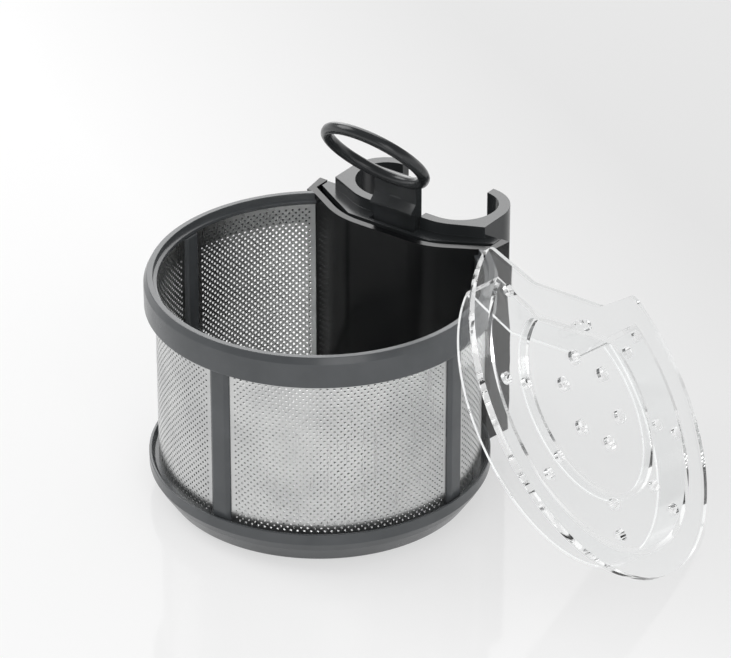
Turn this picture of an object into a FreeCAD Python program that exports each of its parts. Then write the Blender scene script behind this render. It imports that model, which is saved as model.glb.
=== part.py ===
import FreeCAD, Part
import math
import os
import Sketcher

# Perforated tea basket with a rear post clip, a finger-ring latch and a clear lid that leans beside it.
# Millimetres. The basket's axis is Z, the floor is z = 0, the post clip is at +Y and the front is -Y.

doc = FreeCAD.newDocument("tea_basket")
sheet = doc.addObject("Spreadsheet::Sheet", "sizes")

# The driving dimensions, each one with what it measures.
DRIVING = (
    ("rim_radius", 48.0, "outer radius of the upper rim"),
    ("rim_face", 2.6, "width of the rim's top face"),
    ("rim_top", 65.4, "height of the rim's top face"),
    ("rim_band", 9.0, "height of the rim's outer band"),
    ("rim_edge", 0.9, "bevel of the rim's outer edges"),
    ("ledge_width", 1.1, "width of the ledge that covers the sheet's top edge"),
    ("ledge_drop", 2.0, "depth of that ledge below the rim's top face"),
    ("ledge_depth", 1.0, "thickness of that ledge"),
    ("ledge_slope", 0.3, "rise of the ledge's sloped top"),
    ("sheet_inset", 3.1, "distance of the perforated sheet inside the rim"),
    ("sheet_gauge", 0.4, "thickness of the perforated sheet"),
    ("floor_rise", 3.1, "height of the perforated floor above the foot ring"),
    ("gutter_inset", 0.4, "distance of the gutter inside the rim"),
    ("gutter_rise", 2.4, "rise of the gutter's edge above the floor's underside"),
    ("gutter_edge", 3.2, "height of the gutter's upright outer edge"),
    ("gutter_width", 3.4, "width of the gutter moulding under the sheet"),
    ("gutter_dip", 1.7, "depth of the gutter below its outer edge"),
    ("gutter_lip", 0.7, "width of the gutter's top edge"),
    ("gutter_play", 0.1, "clearance between gutter and ribs"),
    ("foot_height", 4.9, "height of the foot ring"),
    ("foot_taper", 3.3, "inward run of the foot ring's slanted side"),
    ("foot_inset", 1.3, "distance of the foot ring's top inside the gutter"),
    ("foot_wall", 2.6, "width of the foot ring where it stands"),
    ("hub_radius", 8.0, "radius of the hub under the floor"),
    ("hub_height", 2.4, "height of the hub and spokes"),
    ("spoke_width", 4.0, "width of a spoke under the floor"),
    ("foot_bar_inset", 4.0, "distance of the foot's rear bar inside the cheeks"),
    ("rib_rise", 1.1, "how far a rib stands proud of the sheet"),
    ("rib_depth", 1.3, "how far a rib reaches inside the sheet's outer face"),
    ("rib_face", 4.2, "width of a rib's outer face"),
    ("rib_width", 6.2, "width of a rib at the sheet"),
    ("rib_shoulder", 0.3, "height of a rib's shoulder outside the sheet"),
    ("wall_front", 28.2, "distance of the flat rear wall from the axis"),
    ("wall_bend", 14.8, "half width of the flat part of the rear wall"),
    ("wall_corner_inset", 1.2, "distance of the rear wall's corners inside the rim"),
    ("wall_corner_across", 0.626, "half width of the rear wall as a part of its corners' radius"),
    ("wall_gauge", 2.0, "thickness of the rear wall"),
    ("wall_bend_radius", 24.0, "radius of the bends in the rear wall"),
    ("cheek_reach", 3.1, "reach of the cheeks outside the rear wall's corners"),
    ("cheek_gauge", 2.6, "thickness of the housing's cheeks"),
    ("cheek_chamfer", 1.2, "chamfer at the front of the cheeks"),
    ("housing_depth", 7.8, "depth of the housing behind the rear wall's corners"),
    ("housing_floor", 2.0, "thickness of the housing's floor"),
    ("groove_width", 2.0, "width of the groove between rear wall and deck"),
    ("deck_play", 0.4, "gap between the deck and a cheek"),
    ("deck_drop", 0.2, "depth of the deck below the rim's top face"),
    ("deck_gauge", 2.0, "thickness of the deck"),
    ("clip_rise", 3.2, "height of the post clip above the rim's top face"),
    ("clip_height", 30.6, "height of the post clip"),
    ("clip_setback", 8.6, "distance of the post clip's front face behind the rear wall's front"),
    ("clip_bend", 13.5, "half width of the flat part of that face"),
    ("clip_shoulder", 4.2, "gap between the post clip and a cheek"),
    ("clip_wall", 3.0, "wall of the post clip"),
    ("clip_bend_radius", 16.0, "radius of the bends in the clip's front face"),
    ("clip_side", 3.3, "thickness of the post clip's sides"),
    ("bore_depth", 19.7, "depth of the post bore, front to back"),
    ("bore_front_radius", 11.2, "corner radius of the bore at its front"),
    ("bore_rear_radius", 8.2, "corner radius of the bore at its rear"),
    ("mouth_width", 29.0, "width of the gap between the clip's tips"),
    ("mouth_depth", 4.0, "depth of that gap"),
    ("cover_gauge", 2.0, "thickness of the rear cover"),
    ("cover_bend", 0.6, "half run of the rear cover's outer bend"),
    ("cover_play", 0.1, "side clearance of the clip's flanges"),
    ("screw_inset", 2.3, "distance of a cover screw outside the post clip"),
    ("screw_radius", 1.0, "radius of a screw's shank"),
    ("screw_head", 1.9, "radius of a screw's head"),
    ("screw_head_depth", 0.8, "height of a screw's head"),
    ("screw_slot", 0.5, "width of a screw's slot"),
    ("screw_length", 5.0, "length of a screw's shank"),
    ("boss_radius", 1.8, "radius of a screw boss"),
    ("tray_width", 24.0, "width of the magnet tray"),
    ("tray_play", 0.4, "gap between the magnet tray and the rear wall"),
    ("tray_height", 26.0, "height of the magnet tray"),
    ("tray_low", 20.0, "height of the tray's underside"),
    ("magnet_width", 8.0, "width of a magnet"),
    ("magnet_height", 18.0, "height of a magnet"),
    ("magnet_gauge", 3.0, "thickness of a magnet"),
    ("magnet_pitch", 11.0, "distance between the magnets' middles"),
    ("latch_width", 14.0, "width of the latch plate"),
    ("latch_gauge", 3.3, "thickness of the latch plate"),
    ("latch_proud", 1.8, "how far the latch plate stands in front of the clip's front face"),
    ("latch_play", 0.4, "side clearance of the latch in the clip"),
    ("latch_swing", 1.6, "room for the latch plate in front of it in the deck"),
    ("latch_eye", 1.6, "height of the plate below the pin"),
    ("latch_room", 3.0, "height of the latch's gap below the pin"),
    ("latch_rise", 13.9, "rise of the latch plate above the rim"),
    ("nose_rise", 3.8, "rise of the nose's underside above the rim"),
    ("nose_reach", 1.9, "reach of the nose in front of the plate"),
    ("nose_crest", 0.2, "reach of the nose's upper edge in front of the plate"),
    ("nose_height", 2.9, "height of the nose"),
    ("nose_chin", 0.9, "height of the nose's lower bevel"),
    ("scoop_depth", 0.7, "depth of the thumb scoop"),
    ("scoop_height", 1.6, "height of the thumb scoop's foot above the nose"),
    ("scoop_lip", 0.6, "height of the scoop's first bend above the nose"),
    ("pin_drop", 5.6, "depth of the latch pin below the rim's top face"),
    ("pin_inset", 1.5, "distance of the latch pin behind the clip's front face"),
    ("pin_radius", 1.0, "radius of the latch pin"),
    ("pin_length", 21.0, "length of the latch pin"),
    ("pin_play", 0.05, "radial clearance of the pin in the latch"),
    ("spring_radius", 1.5, "outer radius of the latch spring"),
    ("spring_length", 5.0, "length of the latch spring"),
    ("spring_play", 0.2, "clearance round the latch spring"),
    ("ring_radius", 14.9, "radius of the finger ring's middle line"),
    ("ring_tube", 1.72, "radius of the finger ring's section"),
    ("ring_lean", 49.5, "degrees of the finger ring's plane above level"),
    ("ring_seat", 0.7, "depth that the finger ring sits into the plate"),
    ("lid_overhang", 3.0, "how far the lid's plate reaches over the rim"),
    ("lid_gauge", 2.0, "thickness of the lid's plate"),
    ("lid_notch_gap", 3.3, "distance of the lid's straight rear edge behind the rear wall's front"),
    ("lid_notch_bend", 16.0, "half width of that straight edge"),
    ("lid_tip_gap", 0.2, "distance of the lid's tips outside the rear wall's corners"),
    ("lid_tip_reach", 0.5, "distance of the lid's tips behind the rear wall's corners"),
    ("lid_tip_radius", 3.0, "radius of the lid's tips"),
    ("lid_bend_radius", 9.0, "radius of the bends beside the straight edge"),
    ("skirt_play", 0.4, "clearance of the lid's skirt in the rim's ledge"),
    ("skirt_depth", 10.0, "depth of the lid's skirt"),
    ("skirt_wall", 1.5, "thickness of the lid's skirt"),
    ("skirt_gap", 6.2, "distance of the skirt's rear wall in front of the basket's rear wall"),
    ("skirt_tip_gap", 1.7, "distance of the skirt's tips outside the rear wall's corners"),
    ("skirt_tip_reach", 7.5, "distance of the skirt's tips behind its straight rear wall"),
    ("well_inset", 23.0, "distance of the ring wall inside the plate's edge"),
    ("well_depth", 3.0, "height of that ring wall"),
    ("well_wall", 1.3, "thickness of that ring wall"),
    ("drain_radius", 1.7, "radius of a drain hole in the lid"),
    ("drain_inset", 11.6, "distance of the outer row of drain holes inside the plate's edge"),
    ("drain_gap", 2.3, "distance of the middle row outside the ring wall"),
    ("drain_inner", 12.5, "radius of the inner row of drain holes"),
    ("drain_inner_radius", 2.1, "radius of an inner drain hole"),
    ("tab_width", 6.0, "width of the lid's lifting tab"),
    ("tab_height", 4.0, "height of the lifting tab"),
    ("tab_gauge", 1.4, "thickness of the lifting tab"),
    ("lean_bearing", 16.6, "degrees from +X of the side that the lid leans on"),
    ("lean_rise", 35.8, "degrees that the leaning lid's face looks up"),
    ("lean_roll", -42.3, "degrees that the leaning lid is rolled in its own plane"),
    ("lean_gap", 1.2, "gap between the leaning lid and the rim"),
    ("lean_shift", -4.0, "sideways shift of the leaning lid"),
)

# Sizes that follow from the driving ones, each with its formula and what it measures.
DERIVED = (
    ("sheet_floor", "foot_height + floor_rise", "height of the underside of the perforated floor"),
    ("gutter_top", "sheet_floor + gutter_rise", "height of the gutter's outer edge"),
    ("rim_opening", "rim_radius - rim_face", "radius of the rim's mouth at its top face"),
    ("ledge_radius", "rim_opening - ledge_width",
     "radius of the small ledge that covers the sheet's top edge"),
    ("sheet_radius", "rim_radius - sheet_inset", "outer radius of the perforated sheet"),
    ("gutter_radius", "rim_radius - gutter_inset", "outer radius of the gutter round the foot"),
    ("gutter_inner", "sheet_radius - gutter_width", "inner radius of the gutter moulding"),
    ("foot_shoulder", "gutter_radius - foot_inset", "radius of the foot ring at its top"),
    ("foot_radius", "foot_shoulder - foot_taper", "radius of the foot ring where it stands"),
    ("foot_inner", "foot_radius - foot_wall", "inner radius of the foot ring"),
    ("rib_radius", "sheet_radius + rib_rise", "outer radius of the upright ribs"),
    ("rib_inner", "sheet_radius - rib_depth", "inner radius of the upright ribs"),
    ("wall_corner_out", "(rim_radius - wall_corner_inset) * wall_corner_across",
     "half width of the rear wall where it meets the rim"),
    ("wall_corner_back", "(rim_radius - wall_corner_inset) * sqrt(1 - wall_corner_across ^ 2)",
     "distance back of that meeting point"),
    ("cheek_out", "wall_corner_out + cheek_reach", "half width of the rear housing over its cheeks"),
    ("housing_back", "wall_corner_back + housing_depth", "distance back of the housing's rear face"),
    ("clip_front", "wall_front + clip_setback", "distance back of the post clip's front face"),
    ("clip_out", "cheek_out - cheek_gauge - clip_shoulder", "half width of the post clip"),
    ("bore_width", "2 * (clip_out - clip_side)", "width of the post bore"),
    ("screw_out", "clip_out + screw_inset", "distance of the cover screws from the middle plane"),
    ("latch_top", "rim_top + latch_rise", "height of the latch plate's top"),
    ("nose_low", "rim_top + nose_rise", "height of the underside of the latch's nose"),
    ("pin_height", "rim_top - pin_drop", "height of the latch pin"),
    ("lid_radius", "rim_radius + lid_overhang", "radius of the lid's plate"),
    ("lid_notch", "wall_front + lid_notch_gap", "distance of the lid's straight rear edge from its middle"),
    ("lid_tip_out", "wall_corner_out + lid_tip_gap", "half distance between the lid's two tips"),
    ("lid_tip_back", "wall_corner_back + lid_tip_reach", "distance back of the lid's tips"),
    ("skirt_radius", "ledge_radius - skirt_play", "outer radius of the lid's skirt"),
    ("skirt_notch", "wall_front - skirt_gap", "distance of the skirt's straight rear wall from the middle"),
    ("skirt_tip_out", "wall_corner_out + skirt_tip_gap", "half distance between the skirt's two tips"),
    ("skirt_tip_back", "skirt_notch + skirt_tip_reach", "distance back of the skirt's tips"),
    ("well_radius", "lid_radius - well_inset", "outer radius of the ring wall under the plate"),
    ("drain_outer", "lid_radius - drain_inset", "radius of the outer row of drain holes"),
    ("drain_middle", "well_radius + drain_gap", "radius of the middle row of drain holes"),
)

for row, (alias, content, meaning) in enumerate(DRIVING + DERIVED, start=1):
    formula = isinstance(content, str)
    sheet.set("A%d" % row, "=" + content if formula else str(content))
    sheet.setAlias("A%d" % row, alias)
    sheet.set("B%d" % row, meaning)
doc.recompute()


class Size:
    """A length that knows its number and the sheet expression that it comes from."""

    def __init__(self, number, text):
        self.number = float(number)
        self.text = text

    def __add__(self, other):
        other = size_of(other)
        return Size(self.number + other.number, "(%s + %s)" % (self.text, other.text))

    def __radd__(self, other):
        return size_of(other) + self

    def __sub__(self, other):
        other = size_of(other)
        return Size(self.number - other.number, "(%s - %s)" % (self.text, other.text))

    def __rsub__(self, other):
        return size_of(other) - self

    def __mul__(self, factor):
        factor = size_of(factor)
        return Size(self.number * factor.number, "(%s * %s)" % (self.text, factor.text))

    def __rmul__(self, factor):
        return self * factor

    def __truediv__(self, other):
        other = size_of(other)
        return Size(self.number / other.number, "(%s / %s)" % (self.text, other.text))

    def __neg__(self):
        return Size(-self.number, "(-1 * %s)" % self.text)

    def __float__(self):
        return self.number


def size_of(value):
    if isinstance(value, Size):
        return value
    return Size(value, repr(float(value)))


def cell(alias):
    return Size(sheet.get(alias), "sizes." + alias)


def bind(target, path, value):
    value = size_of(value)
    target.setExpression(path, value.text)


# Heights and places that several pieces share.
rim_top = cell("rim_top")
rim_low = rim_top - cell("rim_band")
ledge_top = rim_top - cell("ledge_drop")
sheet_top = ledge_top - cell("ledge_depth")
sheet_outer = cell("sheet_radius")
sheet_inner = sheet_outer - cell("sheet_gauge")
floor_top = cell("sheet_floor") + cell("sheet_gauge")
gutter_top = cell("gutter_top")
gutter_bed = gutter_top - cell("gutter_dip")
foot_height = cell("foot_height")
wall_front = cell("wall_front")
wall_gauge = cell("wall_gauge")
wall_back = wall_front + wall_gauge
wall_bends = [(cell("wall_bend"), wall_front), (-cell("wall_bend"), wall_front)]
housing_back = cell("housing_back")
cheek_out = cell("cheek_out")
cheek_in = cheek_out - cell("cheek_gauge")
deck_top = rim_top - cell("deck_drop")
deck_low = deck_top - cell("deck_gauge")
clip_top = rim_top + cell("clip_rise")
clip_low = clip_top - cell("clip_height")
clip_front = cell("clip_front")
clip_out = cell("clip_out")
clip_corner_back = housing_back - cell("cover_gauge")
bore_front = clip_front + cell("clip_wall")
bore_back = bore_front + cell("bore_depth")
bore_out = cell("bore_width") * 0.5
cover_low = foot_height + cell("housing_floor")
pin_height = cell("pin_height")
pin_back = clip_front + cell("pin_inset")
latch_front = clip_front - cell("latch_proud")

# The rear wall's slant, as the run back for each unit outwards.
slant_out = cell("wall_corner_out") - cell("wall_bend")
slant_back = cell("wall_corner_back") - wall_front
slant = slant_back / slant_out
slant_length = math.hypot(slant_out.number, slant_back.number)
slant_turn = math.atan2(slant_back.number, slant_out.number)
# How far a bend moves in, and how far a slanted line moves back, for each unit of offset.
bend_shift = math.tan(slant_turn / 2.0)

clip_slant = (clip_corner_back - clip_front) / (clip_out - cell("clip_bend"))
clip_shift = math.tan(math.atan(clip_slant.number) / 2.0)

# How far a cutting body reaches past what it cuts, how far fused pieces reach into each other,
# and how finely the lid is set against the rim.
PAST = 1.0
FAR = 30.0
JOIN = 1.0
LEAN_STEP = 0.01

ORIGIN = (0.0, 0.0, 0.0)
UP = FreeCAD.Vector(0.0, 0.0, 1.0)


def origin_plane(body, role):
    for feature in body.Origin.OriginFeatures:
        if feature.Role == role:
            return feature
    raise RuntimeError("no origin plane " + role)


def new_body(name):
    return doc.addObject("PartDesign::Body", name)


def new_sketch(body, name, role, height=None):
    sketch = body.newObject("Sketcher::SketchObject", name)
    sketch.AttachmentSupport = [(origin_plane(body, role), "")]
    sketch.MapMode = "FlatFace"
    if height is not None:
        sketch.AttachmentOffset = FreeCAD.Placement(
            FreeCAD.Vector(0.0, 0.0, size_of(height).number), FreeCAD.Rotation())
        bind(sketch, "AttachmentOffset.Base.z", height)
    return sketch


def hold_distance(sketch, kind, index, end, value, name):
    value = size_of(value)
    if abs(value.number) < 1e-9:
        axis = -2 if kind == "DistanceX" else -1
        sketch.addConstraint(Sketcher.Constraint("PointOnObject", index, end, axis))
        return
    if value.number > 0.0:
        made = sketch.addConstraint(Sketcher.Constraint(kind, -1, 1, index, end, value.number))
    else:
        value = -value
        made = sketch.addConstraint(Sketcher.Constraint(kind, index, end, -1, 1, value.number))
    sketch.renameConstraint(made, name)
    bind(sketch, "Constraints." + name, value)


def draw_polygon(sketch, points):
    """Draw a closed outline whose every corner is held by the sheet."""
    corners = [(size_of(x), size_of(y)) for x, y in points]
    count = len(corners)
    first = sketch.GeometryCount
    for number in range(count):
        start = corners[number]
        end = corners[(number + 1) % count]
        sketch.addGeometry(Part.LineSegment(
            FreeCAD.Vector(start[0].number, start[1].number, 0.0),
            FreeCAD.Vector(end[0].number, end[1].number, 0.0)), False)
    for number in range(count):
        follower = first + (number + 1) % count
        sketch.addConstraint(Sketcher.Constraint("Coincident", first + number, 2, follower, 1))
    for number, (across, along) in enumerate(corners):
        tag = "%d_%d" % (first, number)
        hold_distance(sketch, "DistanceX", first + number, 1, across, "across_" + tag)
        hold_distance(sketch, "DistanceY", first + number, 1, along, "along_" + tag)


def draw_circle(sketch, across, along, radius):
    across, along, radius = size_of(across), size_of(along), size_of(radius)
    index = sketch.addGeometry(Part.Circle(
        FreeCAD.Vector(across.number, along.number, 0.0), FreeCAD.Vector(0.0, 0.0, 1.0),
        radius.number), False)
    made = sketch.addConstraint(Sketcher.Constraint("Radius", index, radius.number))
    sketch.renameConstraint(made, "radius_%d" % index)
    bind(sketch, "Constraints.radius_%d" % index, radius)
    hold_distance(sketch, "DistanceX", index, 3, across, "across_%d" % index)
    hold_distance(sketch, "DistanceY", index, 3, along, "along_%d" % index)


def pad(body, sketch, height, name):
    feature = body.newObject("PartDesign::Pad", name)
    feature.Profile = sketch
    feature.Length = size_of(height).number
    bind(feature, "Length", height)
    doc.recompute()
    return feature


def prism(body, name, points, low, high):
    """A solid of the given plan between two heights."""
    sketch = new_sketch(body, name + "_plan", "XY_Plane", low)
    draw_polygon(sketch, points)
    return pad(body, sketch, high - low, name)


def cut_prism(body, name, points, low, high):
    """Cut the given plan out of the body between two heights."""
    before = body.Shape.Volume
    sketch = new_sketch(body, name + "_plan", "XY_Plane", high)
    draw_polygon(sketch, points)
    feature = body.newObject("PartDesign::Pocket", name)
    feature.Profile = sketch
    feature.Length = size_of(high - low).number
    bind(feature, "Length", high - low)
    doc.recompute()
    if not body.Shape.Volume < before - 1e-3:
        raise RuntimeError("the cut removed nothing: " + name)
    return feature


def upright_edges(shape, places, low=None, high=None):
    """Names of the upright edges that stand on the given plan points."""
    names = []
    for number, edge in enumerate(shape.Edges, start=1):
        if len(edge.Vertexes) != 2:
            continue
        start, end = edge.Vertexes[0].Point, edge.Vertexes[1].Point
        if math.hypot(start.x - end.x, start.y - end.y) > 1e-6:
            continue
        middle = (start.z + end.z) / 2.0
        if low is not None and middle < float(low):
            continue
        if high is not None and middle > float(high):
            continue
        for across, along in places:
            if math.hypot(start.x - float(across), start.y - float(along)) < 1e-3:
                names.append("Edge%d" % number)
                break
    return names


def round_uprights(body, name, places, radius, low=None, high=None):
    doc.recompute()
    tip = body.Tip
    names = upright_edges(tip.Shape, places, low, high)
    if not names:
        raise RuntimeError("no edges to round: " + name)
    feature = body.newObject("PartDesign::Fillet", name)
    feature.Base = (tip, names)
    feature.Radius = size_of(radius).number
    bind(feature, "Radius", radius)
    doc.recompute()
    return feature


def mirrored(points):
    """The points, then their mirror images across the middle plane in reverse order."""
    return list(points) + [(-size_of(x), y) for x, y in reversed(points)]


def revolved(body, name, points, turn=None):
    """Turn a profile of (radius, height) corners about Z."""
    sketch = new_sketch(body, name + "_profile", "XZ_Plane")
    draw_polygon(sketch, points)
    feature = body.newObject("PartDesign::Revolution", name)
    feature.Profile = sketch
    feature.ReferenceAxis = (sketch, ["V_Axis"])
    feature.Angle = 360.0
    if turn is not None:
        feature.Angle = size_of(turn).number
        bind(feature, "Angle", turn)
    doc.recompute()
    return feature


def boolean(kind, name, base, *tools):
    """A cut, fuse or common of whole objects, one tool at a time."""
    result = base
    for number, tool in enumerate(tools):
        last = number == len(tools) - 1
        step = doc.addObject(kind, name if last else "%s_step%d" % (name, number))
        step.Base = result
        step.Tool = tool
        result = step
    doc.recompute()
    return result


def box(name, low, high):
    """A box between two corners, each a triple of sizes."""
    made = doc.addObject("Part::Box", name)
    for field, path, start, end in zip(("Length", "Width", "Height"), "xyz", low, high):
        start, end = size_of(start), size_of(end)
        bind(made, field, end - start)
        bind(made, "Placement.Base." + path, start)
    return made


def cylinder(name, centre, radius, height, rotation=None):
    made = doc.addObject("Part::Cylinder", name)
    if rotation is not None:
        made.Placement = FreeCAD.Placement(FreeCAD.Vector(), rotation)
    bind(made, "Radius", radius)
    bind(made, "Height", height)
    for path, value in zip("xyz", centre):
        bind(made, "Placement.Base." + path, value)
    return made


FACING_BACK = FreeCAD.Rotation(FreeCAD.Vector(1.0, 0.0, 0.0), -90.0)
ALONG_X = FreeCAD.Rotation(FreeCAD.Vector(0.0, 1.0, 0.0), 90.0)

PARTS = []


def keep(made, label):
    made.Label = label
    PARTS.append(made)
    return made


def wall_line(offset, out):
    """Half of the rear wall's plan, moved back by an offset and ended at a half width."""
    offset = size_of(offset)
    bend = cell("wall_bend") - offset * bend_shift
    flat = wall_front + offset
    return [(bend, flat), (out, flat + (size_of(out) - bend) * slant)]


def clip_line(out, offset=0.0):
    """Half of the clip's front plan, ended at a half width."""
    bend = cell("clip_bend") - size_of(offset) * clip_shift
    front = clip_front + offset
    return [(bend, front), (out, front + (size_of(out) - bend) * clip_slant)]


def housing_zone(name, low, high):
    """The whole plan of the rear housing as a cutting body."""
    body = new_body(name)
    far_back = housing_back + FAR
    corner_out = cell("wall_corner_out")
    corner_back = cell("wall_corner_back")
    half = [
        (cell("wall_bend"), wall_front),
        (corner_out, corner_back),
        (cheek_out - cell("cheek_chamfer"), corner_back),
        (cheek_out, housing_back),
        (cheek_out, far_back),
    ]
    prism(body, name + "_solid", mirrored(half), low, high)
    round_uprights(body, name + "_bends", wall_bends, cell("wall_bend_radius"))
    return body


def rim():
    """Upper rim with its top face, rounded outer edges and the ledge over the sheet's edge."""
    edge = cell("rim_edge")
    radius = cell("rim_radius")
    ledge = cell("ledge_radius")
    body = new_body("rim_body")
    revolved(body, "rim_turned", [
        (sheet_outer, rim_low),
        (radius - edge * 0.5, rim_low),
        (radius, rim_low + edge * 0.5),
        (radius, rim_top - edge),
        (radius - edge, rim_top),
        (cell("rim_opening"), rim_top),
        (cell("rim_opening"), ledge_top + cell("ledge_slope")),
        (ledge, ledge_top),
        (ledge, sheet_top),
        (sheet_outer, sheet_top),
    ])
    zone = housing_zone("rim_rear", rim_low - PAST, rim_top + PAST)
    return keep(boolean("Part::Cut", "rim_cut", body, zone), "rim_band")


def rib(label, bearing):
    """Upright rib: proud of the sheet outside, and up to the ledge inside."""
    body = new_body(label + "_body")
    half_face = cell("rib_face") * 0.5
    half_width = cell("rib_width") * 0.5
    inner, outer = cell("rib_inner"), cell("rib_radius")
    shoulder = sheet_outer + cell("rib_shoulder")
    outline = [
        (inner, half_face),
        (sheet_inner, half_width),
        (shoulder, half_width),
        (outer, half_face),
        (outer, -half_face),
        (shoulder, -half_width),
        (sheet_inner, -half_width),
        (inner, -half_face),
    ]
    prism(body, label + "_bar", outline, gutter_bed, rim_low)
    cap = [
        (inner, half_face),
        (sheet_inner, half_width),
        (sheet_inner, -half_width),
        (inner, -half_face),
    ]
    prism(body, label + "_cap", cap, rim_low, sheet_top)
    body.Placement = FreeCAD.Placement(FreeCAD.Vector(), FreeCAD.Rotation(UP, bearing))
    keep(body, label)


def rib_half_angle():
    """Degrees from a rib's middle to where the sheet starts beside it."""
    return math.degrees(math.asin(cell("rib_width").number * 0.5 / sheet_inner.number)) + 0.02


def wall_angle():
    """Degrees from +X at which the sheet meets the rear wall."""
    radius = sheet_outer.number
    start_x, start_y = cell("wall_bend").number, wall_front.number
    run_x, run_y = slant_out.number / slant_length, slant_back.number / slant_length
    along = start_x * run_x + start_y * run_y
    reach = math.sqrt(along * along + radius * radius - start_x ** 2 - start_y ** 2) - along
    return math.degrees(math.atan2(start_y + reach * run_y, start_x + reach * run_x)) - 0.05


def sheet_panel(label, start, end):
    """One bay of the perforated sheet, left plain here."""
    body = new_body(label + "_body")
    revolved(body, label + "_turned", [
        (sheet_inner, floor_top),
        (sheet_outer, floor_top),
        (sheet_outer, sheet_top),
        (sheet_inner, sheet_top),
    ], end - start)
    body.Placement = FreeCAD.Placement(FreeCAD.Vector(), FreeCAD.Rotation(UP, start))
    keep(body, label)


def sheet_floor():
    """Round perforated floor with its rear cut off along the rear wall."""
    disc = cylinder("floor_disc", (0.0, 0.0, cell("sheet_floor")), sheet_inner, cell("sheet_gauge"))
    zone = housing_zone("floor_rear", cell("sheet_floor") - PAST, floor_top + PAST)
    keep(boolean("Part::Cut", "floor_cut", disc, zone), "floor_sheet")


def gutter():
    """Flared gutter that carries the sheet and its floor."""
    radius = cell("gutter_radius")
    body = new_body("gutter_body")
    revolved(body, "gutter_turned", [
        (cell("gutter_inner"), foot_height),
        (cell("foot_shoulder"), foot_height),
        (radius, gutter_top - cell("gutter_edge")),
        (radius, gutter_top),
        (radius - cell("gutter_lip"), gutter_top),
        (cell("rib_radius") + cell("gutter_play"), gutter_bed),
        (sheet_outer, gutter_bed),
        (sheet_outer, floor_top),
        (sheet_inner, floor_top),
        (sheet_inner, cell("sheet_floor")),
        (cell("gutter_inner"), cell("sheet_floor")),
    ])
    zone = housing_zone("gutter_rear", foot_height - PAST, gutter_top + PAST)
    keep(boolean("Part::Cut", "gutter_cut", body, zone), "gutter_flange")


def foot():
    """Foot ring with a rear bar, a hub and three spokes, all standing on the floor."""
    body = new_body("foot_body")
    revolved(body, "foot_turned", [
        (cell("foot_inner"), 0.0),
        (cell("foot_radius"), 0.0),
        (cell("foot_shoulder"), foot_height),
        (cell("foot_inner"), foot_height),
    ])
    behind = new_body("foot_behind")
    prism(behind, "foot_behind_solid", mirrored(
        clip_line(clip_out) + [(cheek_out, housing_back), (cheek_out, housing_back + FAR)]),
        size_of(-PAST), foot_height + PAST)
    ring = boolean("Part::Cut", "foot_ring_cut", body, behind)
    bar_out = cheek_out - cell("foot_bar_inset")
    bar = box("foot_bar", (-bar_out, wall_back, 0.0), (bar_out, clip_front, foot_height))
    hub = cylinder("foot_hub", ORIGIN, cell("hub_radius"), cell("hub_height"))
    pieces = [bar, hub]
    for number, bearing in enumerate((90.0, 210.0, 330.0)):
        length = cell("foot_inner") + JOIN
        if bearing == 90.0:
            length = wall_back + JOIN
        spoke = doc.addObject("Part::Box", "foot_spoke%d" % number)
        half = cell("spoke_width") * 0.5
        bind(spoke, "Length", length)
        bind(spoke, "Width", cell("spoke_width"))
        bind(spoke, "Height", cell("hub_height"))
        turn = FreeCAD.Rotation(UP, bearing)
        spoke.Placement = FreeCAD.Placement(turn.multVec(FreeCAD.Vector(0.0, -half.number, 0.0)), turn)
        pieces.append(spoke)
    keep(boolean("Part::Fuse", "foot_fused", ring, *pieces), "foot_ring")


def housing():
    """Rear wall, the two cheeks beside the deck, the housing's floor and the screw bosses."""
    corner_out = cell("wall_corner_out")
    corner_back = cell("wall_corner_back")
    inner = [(cell("wall_bend"), wall_front), (corner_out, corner_back)]
    cheek_front = cheek_out - cell("cheek_chamfer")
    cheek = [(cheek_front, corner_back), (cheek_out, housing_back), (cheek_in, housing_back)]
    back = wall_line(wall_gauge, cheek_in)
    body = new_body("housing_body")
    outline = inner + cheek + list(reversed(back))
    left = [(-x, y) for x, y in reversed(outline)]
    prism(body, "housing_wall", left + outline, foot_height, rim_top)
    round_uprights(body, "housing_bends", wall_bends, cell("wall_bend_radius"))
    back_bends = [back[0], (-back[0][0], back[0][1])]
    round_uprights(body, "housing_back_bends", back_bends, cell("wall_bend_radius") - wall_gauge)
    plate = wall_line(wall_gauge * 0.5, cheek_in + JOIN)
    rear = clip_line(clip_out) + [(cheek_in + JOIN, clip_corner_back)]
    prism(body, "housing_floor", mirrored_band(plate, rear), foot_height, cover_low)
    boss_front = wall_line(wall_gauge, cell("screw_out"))[1][1] - JOIN
    bosses = [cylinder("housing_boss%d" % number, (cell("screw_out") * side, boss_front, height),
                       cell("boss_radius"), clip_corner_back - boss_front, FACING_BACK)
              for number, (side, height) in enumerate(screw_places())]
    fused = boolean("Part::Fuse", "housing_fused", body, *bosses)
    holes = [screw_shank("housing_hole%d" % number, side, height)
             for number, (side, height) in enumerate(screw_places())]
    keep(boolean("Part::Cut", "housing_cut", fused, *holes), "rear_housing")


def mirrored_band(front, back):
    """A closed plan between a front line and a rear line, both given for one side only."""
    right = list(front) + list(reversed(back))
    left = [(-size_of(x), y) for x, y in reversed(right)]
    return right + left


def screw_places():
    """Side and height of each cover screw: two in the clip and two in the rear cover."""
    upper = clip_low + (deck_low - clip_low) * 0.5
    lower = cover_low + (clip_low - cover_low) * 0.5
    return [(side, height) for height in (upper, lower) for side in (-1.0, 1.0)]


def screw_shank(name, side, height):
    return cylinder(
        name, (cell("screw_out") * side, housing_back - cell("screw_length"), height),
        cell("screw_radius"), cell("screw_length"), FACING_BACK)


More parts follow.
